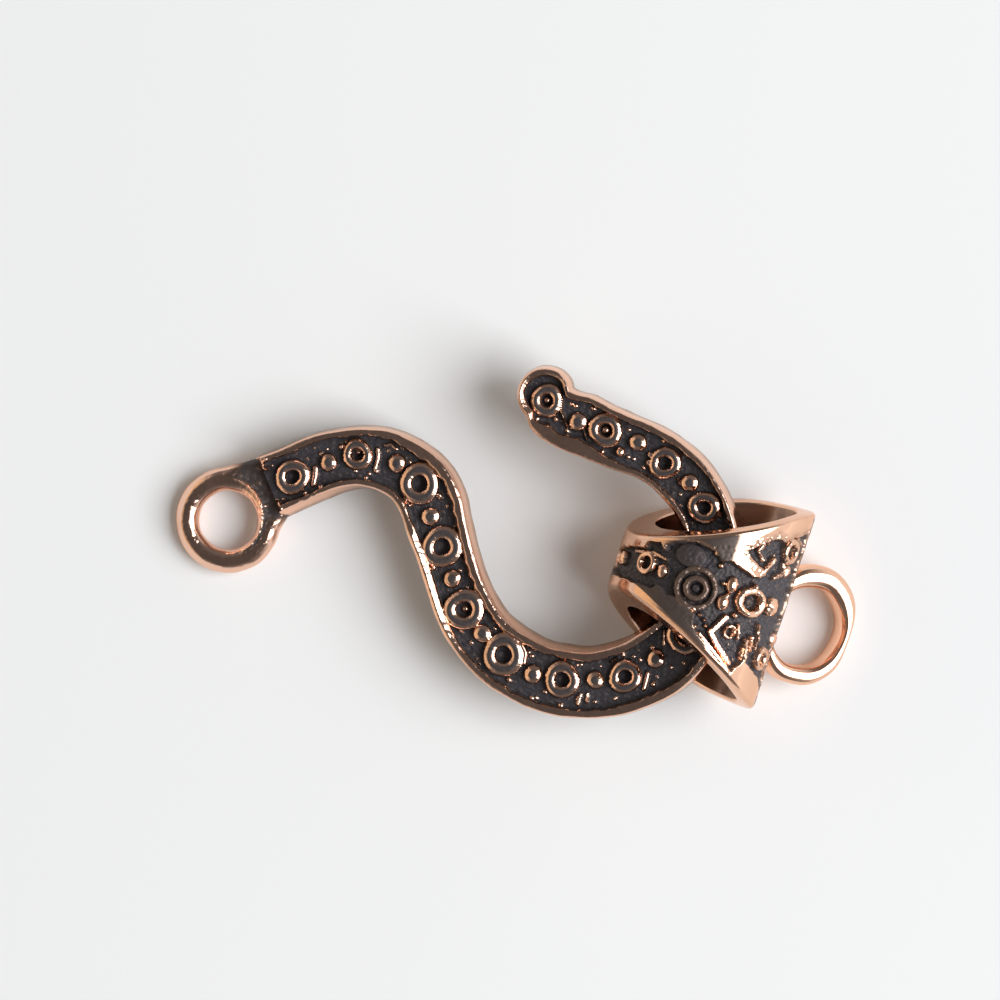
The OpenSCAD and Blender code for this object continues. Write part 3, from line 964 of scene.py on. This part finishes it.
def band_ornaments(degrees, offset, height, wear_and_shade):
    """Adds rings, domes and lines, each a height by the distance from its own middle or line.

    A dull pit is sunk in each ring, and otherwise the larger height wins. Each ornament has its
    own polish, which comes in over its foot.
    """
    for angle, place, round_r, along_r, hole, tall, bright in BAND_RINGS:
        r = np.hypot((degrees - angle) * ARC / round_r, (offset - place) / along_r)
        bump = wall_bump((r - (1 + hole) / 2) / ((1 - hole) / 2 + 0.03), tall)
        pit = np.clip(1 - (r / hole) ** 2, 0, None)
        height = np.where((pit > 0) & (bump < 0.1), np.minimum(height, bump - 0.08 * pit), height)
        wear_and_shade = np.where(pit > 0, 0.1, wear_and_shade)
        height = np.where(bump > 0, soft_max(height, bump, 0.05), height)
        wear_and_shade = np.maximum(wear_and_shade, bright * smoothstep(0.04, 0.2, bump))
    for angle, place, round_r, along_r, tall, bright in BAND_DOMES:
        bump = dome_bump(np.hypot((degrees - angle) * ARC / round_r, (offset - place) / along_r), tall)
        height = np.where(bump > 0, soft_max(height, bump, 0.05), height)
        wear_and_shade = np.maximum(wear_and_shade, bright * smoothstep(0.04, 0.2, bump))
    for half, tall, bright, points in BAND_LINES:
        placed = [(angle * ARC, place) for angle, place in points]
        q = line_distance(degrees * ARC, offset, placed) / half
        bump = tall * np.clip((1 - q) / 0.4, 0, 1) ** 0.6
        height = np.where(bump > 0, soft_max(height, bump, 0.06), height)
        wear_and_shade = np.maximum(wear_and_shade, bright * smoothstep(0.06, 0.22, bump))
    return height, wear_and_shade


def band_relief(degrees, offset, edge):
    """Height over the ground, 0 to about 0.5, by the place on the band, and how much is polished.

    The plain faces and the ornaments stand on the ground. It is grained, and so are the places of
    middle height and, less, the level faces far from the loop. Off the plain faces the grain's
    highest places are rubbed bright.
    """
    plain, wear_and_shade, lumpy = band_fields(degrees, offset, edge)
    height, wear_and_shade = band_ornaments(degrees, offset, GROUND_DEEP * plain, wear_and_shade)
    ground = 1 - smoothstep(0.02, 0.2, height)
    domes = smoothstep(0.12, 0.24, height) * (1 - smoothstep(0.28, 0.33, height))
    toward_loop = smoothstep(-8, 4, degrees) * (1 - plain)
    rough = grain_field(degrees * ARC, offset, 0.34, 0.18, seed=61)
    grain_tall = 0.03 * np.maximum(ground, domes) + 0.02 * toward_loop + 0.012 * lumpy
    height = height + rough * grain_tall
    rubbed = 0.6 * np.maximum(toward_loop, 0.5 * ground) * smoothstep(0.5, 1.2, rough)
    return height, np.clip(wear_and_shade + rubbed * (1 - wear_and_shade), 0, 1)


def rim_offset(x):
    """Offset of a rim from the band's middle: a straight lean that bends back near the loop."""
    bend = RIM_BEND * np.clip(x - BEND_START, 0, None) ** 2
    return np.maximum(BAND_HALF_W + x * math.tan(BAND_FLARE) - bend, 0.05)


def rim_columns(sin, cos, size):
    """Points of a rim as x, z and offset, by the depth from the outer face toward the bore.

    The depth starts on a rounded outer edge of the given size, crosses the flat rim and ends on
    the rounded edge of the bore.
    """
    bore_x, bore_z = BORE_SHIFT + BAND_BORE_R * sin, BAND_BORE_R * cos
    outer_x, outer_z = RIM_OUTER_R * sin, RIM_OUTER_R * cos
    wall = np.hypot(outer_x - bore_x, outer_z - bore_z)
    turn = np.radians(np.array([20, 45, 70, 90]))
    first = size * (1 - np.cos(turn))[None, :] + 0 * wall
    first_back = size * (1 - np.sin(turn))[None, :] + 0 * wall
    middle = size + (wall - size - BORE_ROUND) * np.array([0.35, 0.7, 1.0])[None, :]
    last = wall - BORE_ROUND + BORE_ROUND * np.array([0.7, 0.94])[None, :]
    last_back = np.array([0.03, 0.08])[None, :] + 0 * wall
    depth = np.concatenate([first, middle, last], axis=1)
    back = np.concatenate([first_back, 0 * middle, last_back], axis=1)
    x = outer_x + (bore_x - outer_x) * depth / wall
    z = outer_z + (bore_z - outer_z) * depth / wall
    return x, z, rim_offset(x) - back


def band_surface():
    """The band as a grid of angles round its axis by columns round its section.

    The columns run over the outer face from one leaning rim to the other, at the ground's radius
    plus the relief. Then they go over a rounded rim, back along the bore and over the other rim.
    """
    # The underside has no relief and takes fewer angles
    fine = np.linspace(-128, 90, 330, endpoint=False)
    coarse = np.linspace(90, 232, 60, endpoint=False)
    degrees = np.concatenate([fine, coarse])
    angle = np.radians(degrees)
    sin, cos = np.sin(angle)[:, None], np.cos(angle)[:, None]
    signed = np.where(degrees > 180, degrees - 360, degrees)[:, None]

    share = np.linspace(-1, 1, 150)[None, :]
    edge_b = rim_offset(BAND_R * sin)
    rounded = np.where(share > 0, LEFT_ROUND, RIGHT_ROUND)
    offset = share * (edge_b - rounded)
    edge = (edge_b - np.abs(offset)) * math.cos(BAND_FLARE)
    height, worn_and_shade = band_relief(signed + 0 * offset, offset, edge)
    under = np.maximum(smoothstep(66, 80, signed), 1 - smoothstep(-124, -112, signed)) + 0 * offset
    height = height * (1 - under) + GROUND_DEEP * under
    worn_and_shade = np.maximum(worn_and_shade, under)
    drop = 0.05 * np.clip(1 - edge / 0.4, 0, 1) ** 2
    soft = 0.004 * lumps(signed * ARC, offset, 1.6, seed=71) - 0.006
    radius = GROUND_R + height - drop + soft

    left_x, left_z, left_b = rim_columns(sin, cos, LEFT_ROUND)
    right_x, right_z, right_b = rim_columns(sin, cos, RIGHT_ROUND)
    bore_x, bore_z = BORE_SHIFT + BAND_BORE_R * sin, BAND_BORE_R * cos
    bore_b = np.linspace(1, -1, 14)[None, :] * (rim_offset(bore_x) - 0.12)

    b = np.concatenate([offset, left_b, bore_b, -right_b[:, ::-1]], axis=1)
    x = np.concatenate([radius * sin, left_x, bore_x + 0 * bore_b, right_x[:, ::-1]], axis=1)
    z = np.concatenate([radius * cos, left_z, bore_z + 0 * bore_b, right_z[:, ::-1]], axis=1)
    # The rims' faces are a little duller far from the loop, a painted shade on their side away from
    # the key light, and the bore is duller all round
    rims = 0.9 - 0.18 * (1 - smoothstep(-70, -20, signed))
    wear_and_shade = np.concatenate([worn_and_shade, rims + 0 * left_b, 0.6 + 0 * bore_b, rims + 0 * right_b], axis=1)
    points = np.stack([x, b, z], -1).reshape(-1, 3)
    rows, columns = b.shape
    return write_mesh("band", place_eye(points), grid_faces(rows, columns, True), wear_and_shade.reshape(-1))


def eye_loop_surface():
    """The eye's loop: a rounded section carried once round its bore.

    The outer edge is two half circles joined by straight sides, round a middle a little aside
    from the bore's, and the section is a superellipse.
    """
    rows, columns = 170, 38
    angle = np.linspace(0, math.tau, rows, endpoint=False)
    side = EYE_LOOP_Y - EYE_LOOP_TIP
    cos, sin = np.cos(angle), np.sin(angle)
    around = np.linspace(0, math.tau, 241)
    lift = np.where(np.sin(around) >= 0, side, -side)
    outline_x = EYE_LOOP_TIP * np.cos(around) + EYE_LOOP_X - EYE_BORE_X
    outline_y = EYE_LOOP_TIP * np.sin(around) + lift - EYE_LOOP_OFF + EYE_BORE_OFF
    outline = list(zip(outline_x, outline_y))
    reach = outline_reach(angle, outline + outline[:1])
    turn = np.linspace(0, math.tau, columns, endpoint=False)
    power = 2 / 2.7
    across = np.sign(np.cos(turn)) * np.abs(np.cos(turn)) ** power
    up = np.sign(np.sin(turn)) * np.abs(np.sin(turn)) ** power
    radius = (reach + EYE_BORE_R)[:, None] / 2 + (reach - EYE_BORE_R)[:, None] / 2 * across[None, :]
    z = EYE_LOOP_T / 2 * up[None, :] + 0 * radius
    soft = 0.02 * lumps(radius * cos[:, None], radius * sin[:, None], 2.0, seed=81) - 0.02
    x = EYE_BORE_X + (radius + soft) * cos[:, None]
    y = (radius + soft) * sin[:, None] - EYE_BORE_OFF
    # It is duller where it joins the band
    near_band = 1 - smoothstep(BAND_R - 0.05, BAND_R + 0.4, x)
    wear_and_shade = 0.97 - 0.6 * near_band
    points = np.stack([x, y, z], -1).reshape(-1, 3)
    faces = grid_faces(rows, columns, True)
    return write_mesh("eye_loop", place_eye(points), faces, wear_and_shade.reshape(-1))


def fuse(name, body, other):
    """One closed casting from two that run into each other."""
    join = body.modifiers.new("fuse", "BOOLEAN")
    join.operation = "UNION"
    join.solver = "MANIFOLD"
    join.object = other
    shaped = body.evaluated_get(bpy.context.evaluated_depsgraph_get())
    mesh = bpy.data.meshes.new_from_object(shaped)
    mesh.name = name
    piece = bpy.data.objects.new(name, mesh)
    bpy.context.scene.collection.objects.link(piece)
    for old in (body, other):
        bpy.data.objects.remove(old)
    mesh.shade_smooth()
    mesh.set_sharp_from_angle(angle=math.radians(50))
    return piece


def new_group(name, inputs, outputs):
    """A shader group with named number, colour or vector sockets, and its two end nodes."""
    group = bpy.data.node_groups.new(name, "ShaderNodeTree")
    for socket, kind, value in inputs:
        made = group.interface.new_socket(socket, in_out="INPUT", socket_type=kind)
        if value is not None:
            made.default_value = value
    for socket, kind in outputs:
        group.interface.new_socket(socket, in_out="OUTPUT", socket_type=kind)
    return group, group.nodes.new("NodeGroupInput"), group.nodes.new("NodeGroupOutput")


def noise(tree, coords, scale, detail=4.0, rough=0.55):
    """Noise over a vector socket, as its value socket."""
    node = tree.nodes.new("ShaderNodeTexNoise")
    node.inputs["Scale"].default_value = scale
    node.inputs["Detail"].default_value = detail
    node.inputs["Roughness"].default_value = rough
    tree.links.new(coords, node.inputs["Vector"])
    return node.outputs["Fac"]


def calc(tree, operation, *values):
    """One step of arithmetic on sockets or plain numbers."""
    node = tree.nodes.new("ShaderNodeMath")
    node.operation = operation
    for i, value in enumerate(values):
        if isinstance(value, (int, float)):
            node.inputs[i].default_value = value
        else:
            tree.links.new(value, node.inputs[i])
    return node.outputs[0]


def remap(tree, value, from_low, from_high, to_low, to_high):
    """Smooth step of a value from one range to another."""
    node = tree.nodes.new("ShaderNodeMapRange")
    node.interpolation_type = "SMOOTHSTEP"
    tree.links.new(value, node.inputs["Value"])
    node.inputs["From Min"].default_value = from_low
    node.inputs["From Max"].default_value = from_high
    node.inputs["To Min"].default_value = to_low
    node.inputs["To Max"].default_value = to_high
    return node.outputs["Result"]


def patina_group():
    """How bare the metal is, 0 blackened to 1 polished: the wear and painted shade broken up by noise.
    """
    group, start, end = new_group(
        "patina over wear",
        [
            ("Wear and shade", "NodeSocketFloat", 1.0),
            ("Point", "NodeSocketVector", None),
            ("Mottle", "NodeSocketFloat", 0.2),
        ],
        [("Bare", "NodeSocketFloat")],
    )
    point = start.outputs["Point"]
    broad = noise(group, point, 900.0)
    fine = noise(group, point, 5200.0, 3.0)
    mixed = calc(group, "ADD", calc(group, "MULTIPLY", broad, 0.5), calc(group, "MULTIPLY", fine, 0.5))
    shift = calc(group, "MULTIPLY", calc(group, "SUBTRACT", mixed, 0.5), start.outputs["Mottle"])
    bare = calc(group, "ADD", start.outputs["Wear and shade"], calc(group, "MULTIPLY", shift, 2.0))
    group.links.new(calc(group, "MINIMUM", calc(group, "MAXIMUM", bare, 0.0), 1.0), end.inputs["Bare"])
    return group


def cast_group():
    """Height of a cast skin: shallow ripples left by polishing over fine grains in the dark ground."""
    group, start, end = new_group(
        "cast skin",
        [
            ("Point", "NodeSocketVector", None),
            ("Bare", "NodeSocketFloat", 1.0),
            ("Grains", "NodeSocketFloat", 1.0),
        ],
        [("Height", "NodeSocketFloat")],
    )
    point = start.outputs["Point"]
    ripple = noise(group, point, 1700.0, 5.0, 0.6)
    grains = noise(group, point, 7000.0, 4.0, 0.7)
    dull = calc(group, "SUBTRACT", 1.0, start.outputs["Bare"])
    rough = calc(group, "MULTIPLY", calc(group, "MULTIPLY", grains, dull), start.outputs["Grains"])
    height = calc(group, "ADD", calc(group, "MULTIPLY", ripple, 0.55), rough)
    group.links.new(height, end.inputs["Height"])
    return group


PATINA = patina_group()
CAST = cast_group()

# Colours of the blackened ground, of the brown satin, of the darker copper and of the polished
# copper of each casting, and the tint of a glance along it
BLACKENED = (0.038, 0.036, 0.044)
BROWN = (0.085, 0.062, 0.053)
DEEP_COPPER = (0.42, 0.27, 0.2)
HOOK_COPPER = (0.91, 0.575, 0.43)
EYE_COPPER = (0.92, 0.56, 0.385)
GLANCE_TINT = (0.97, 0.82, 0.72)


def antique_copper(name, polished, mottle):
    """Copper bright where rubbed, brown on level faces partly as painted shade, blackened in hollows.
    """
    material = bpy.data.materials.new(name)
    material.use_nodes = True
    tree = material.node_tree
    shader = tree.nodes["Principled BSDF"]
    point = tree.nodes.new("ShaderNodeTexCoord").outputs["Object"]
    wear_and_shade = tree.nodes.new("ShaderNodeAttribute")
    wear_and_shade.attribute_name = "wear_and_shade"

    patina = tree.nodes.new("ShaderNodeGroup")
    patina.node_tree = PATINA
    patina.inputs["Mottle"].default_value = mottle
    tree.links.new(wear_and_shade.outputs["Fac"], patina.inputs["Wear and shade"])
    tree.links.new(point, patina.inputs["Point"])
    bare = patina.outputs["Bare"]

    ramp = tree.nodes.new("ShaderNodeValToRGB")
    stops = [(0.0, BLACKENED), (0.35, BROWN), (0.65, DEEP_COPPER), (0.92, polished)]
    ramp.color_ramp.elements[0].position = stops[0][0]
    ramp.color_ramp.elements[1].position = stops[-1][0]
    for place, _ in stops[1:-1]:
        ramp.color_ramp.elements.new(place)
    for element, (_, colour) in zip(ramp.color_ramp.elements, stops):
        element.color = (*colour, 1)
    tree.links.new(bare, ramp.inputs["Fac"])
    tree.links.new(ramp.outputs["Color"], shader.inputs["Base Color"])
    tree.links.new(remap(tree, bare, 0.2, 0.65, 0.0, 1.0), shader.inputs["Metallic"])
    shader.inputs["Specular Tint"].default_value = (*GLANCE_TINT, 1)
    tree.links.new(remap(tree, bare, 0.1, 0.8, 0.5, 0.13), shader.inputs["Roughness"])

    cast = tree.nodes.new("ShaderNodeGroup")
    cast.node_tree = CAST
    tree.links.new(point, cast.inputs["Point"])
    tree.links.new(bare, cast.inputs["Bare"])
    bump = tree.nodes.new("ShaderNodeBump")
    bump.inputs["Strength"].default_value = 0.5
    bump.inputs["Distance"].default_value = 0.03 * MM
    tree.links.new(cast.outputs["Height"], bump.inputs["Height"])
    tree.links.new(bump.outputs["Normal"], shader.inputs["Normal"])
    return material


def finish_piece(piece, material, node):
    """Gives a casting its material and lets it stand for its solid."""
    piece.data.materials.clear()
    piece.data.materials.append(material)
    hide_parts(node)
    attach(piece, "root")


# Colour of the floor, and a weak warm glow painted into it for the light that a pale room gives back
FLOOR_COLOUR = (0.86, 0.865, 0.86)
FLOOR_GLOW = (1.0, 0.85, 0.66)
FLOOR_GLOW_STRENGTH = 0.045


def pale_floor():
    """A plain matt floor under the clasp, with a weak painted glow that lifts its shadows."""
    size = 0.6
    mesh = bpy.data.meshes.new("floor")
    corners = [(-size, -size, 0), (size, -size, 0), (size, size, 0), (-size, size, 0)]
    mesh.from_pydata(corners, [], [(0, 1, 2, 3)])
    floor = bpy.data.objects.new("floor", mesh)
    bpy.context.scene.collection.objects.link(floor)
    material = bpy.data.materials.new("pale floor")
    material.use_nodes = True
    shader = material.node_tree.nodes["Principled BSDF"]
    shader.inputs["Base Color"].default_value = (*FLOOR_COLOUR, 1)
    shader.inputs["Roughness"].default_value = 0.7
    shader.inputs["Specular IOR Level"].default_value = 0.2
    shader.inputs["Emission Color"].default_value = (*FLOOR_GLOW, 1)
    shader.inputs["Emission Strength"].default_value = FLOOR_GLOW_STRENGTH
    mesh.materials.append(material)


def soft_light(name, azimuth, elevation, far, size, radiance, colour):
    """A rectangular soft light that faces the clasp, from its direction in degrees and its distance.

    Its power is the radiance times pi times its area.
    """
    azimuth, elevation = math.radians(azimuth), math.radians(elevation)
    level = math.cos(elevation)
    out = Vector((level * math.cos(azimuth), level * math.sin(azimuth), math.sin(elevation)))
    data = bpy.data.lights.new(name, "AREA")
    data.shape = "RECTANGLE"
    data.size, data.size_y = size
    data.energy = radiance * math.pi * size[0] * size[1]
    data.color = colour
    light = bpy.data.objects.new(name, data)
    light.location = Vector((0, 0, FOCUS_HIGH)) + out * far
    light.rotation_euler = out.to_track_quat("Z", "Y").to_euler()
    bpy.context.scene.collection.objects.link(light)


# Strength of the room's own light, of a glow at the horizon and of the glows in the east and west,
# and the colours away from the west and in it
ROOM_GLOW = 0.15
HORIZON_GLOW = 0.08
EAST_GLOW = 0.8
WEST_GLOW = 0.75
COOL_TINT = (0.97, 0.97, 1.0)
WARM_TINT = (1.0, 0.8, 0.54)


def studio_world():
    """A dim room: a glow low in the east, a warm one in the west, and darker overhead."""
    world = bpy.data.worlds.new("studio")
    world.use_nodes = True
    tree = world.node_tree
    back = tree.nodes["Background"]
    direction = tree.nodes.new("ShaderNodeTexCoord").outputs["Generated"]
    split = tree.nodes.new("ShaderNodeSeparateXYZ")
    tree.links.new(direction, split.inputs[0])
    east = calc(
        tree, "MULTIPLY",
        remap(tree, split.outputs["X"], 0.4, 0.9, 0.0, 1.0),
        remap(tree, split.outputs["Z"], 0.2, 0.8, 1.0, 0.0),
    )
    west = calc(
        tree, "MULTIPLY",
        remap(tree, split.outputs["X"], -0.85, -0.4, 1.0, 0.0),
        remap(tree, split.outputs["Z"], 0.35, 0.75, 1.0, 0.0),
    )
    horizon = remap(tree, split.outputs["Z"], 0.04, 0.3, 1.0, 0.0)
    sides = (calc(tree, "MULTIPLY", east, EAST_GLOW), calc(tree, "MULTIPLY", west, WEST_GLOW))
    glow = calc(tree, "ADD", *sides)
    glow = calc(tree, "ADD", glow, calc(tree, "MULTIPLY", horizon, HORIZON_GLOW))
    glow = calc(tree, "ADD", glow, ROOM_GLOW)
    tint = tree.nodes.new("ShaderNodeMix")
    tint.data_type = "RGBA"
    sockets = {socket.identifier: socket for socket in (*tint.inputs, *tint.outputs)}
    sockets["A_Color"].default_value = (*COOL_TINT, 1)
    sockets["B_Color"].default_value = (*WARM_TINT, 1)
    tree.links.new(west, sockets["Factor_Float"])
    tree.links.new(sockets["Result_Color"], back.inputs["Color"])
    tree.links.new(glow, back.inputs["Strength"])
    bpy.context.scene.world = world


def overhead_camera():
    """Looks straight down from the photo's middle, with the photo's scale at the clasp's height."""
    data = bpy.data.cameras.new("overhead")
    frame_w = PHOTO_PX * MM_PER_PX * MM
    data.sensor_width = 36
    data.lens = data.sensor_width * (CAMERA_HIGH - FOCUS_HIGH) / frame_w
    camera = bpy.data.objects.new("overhead", data)
    x = (PHOTO_PX / 2 - ORIGIN_PX[0]) * MM_PER_PX * MM
    y = (ORIGIN_PX[1] - PHOTO_PX / 2) * MM_PER_PX * MM
    camera.location = (x, y, CAMERA_HIGH)
    bpy.context.scene.collection.objects.link(camera)
    bpy.context.scene.camera = camera


overhead_camera()
studio_world()
pale_floor()
soft_light(
    "key",
    azimuth=-10,
    elevation=46,
    far=0.86,
    size=(0.7, 0.68),
    radiance=6.3,
    colour=(0.94, 0.965, 1.0),
)

hook = fuse("clasp_hook", strip_surface(), loop_surface())
finish_piece(hook, antique_copper("hook copper", HOOK_COPPER, 0.18), "hook")
eye = fuse("clasp_eye", band_surface(), eye_loop_surface())
finish_piece(eye, antique_copper("eye copper", EYE_COPPER, 0.15), "eye")

bpy.context.scene.view_settings.view_transform = "Standard"
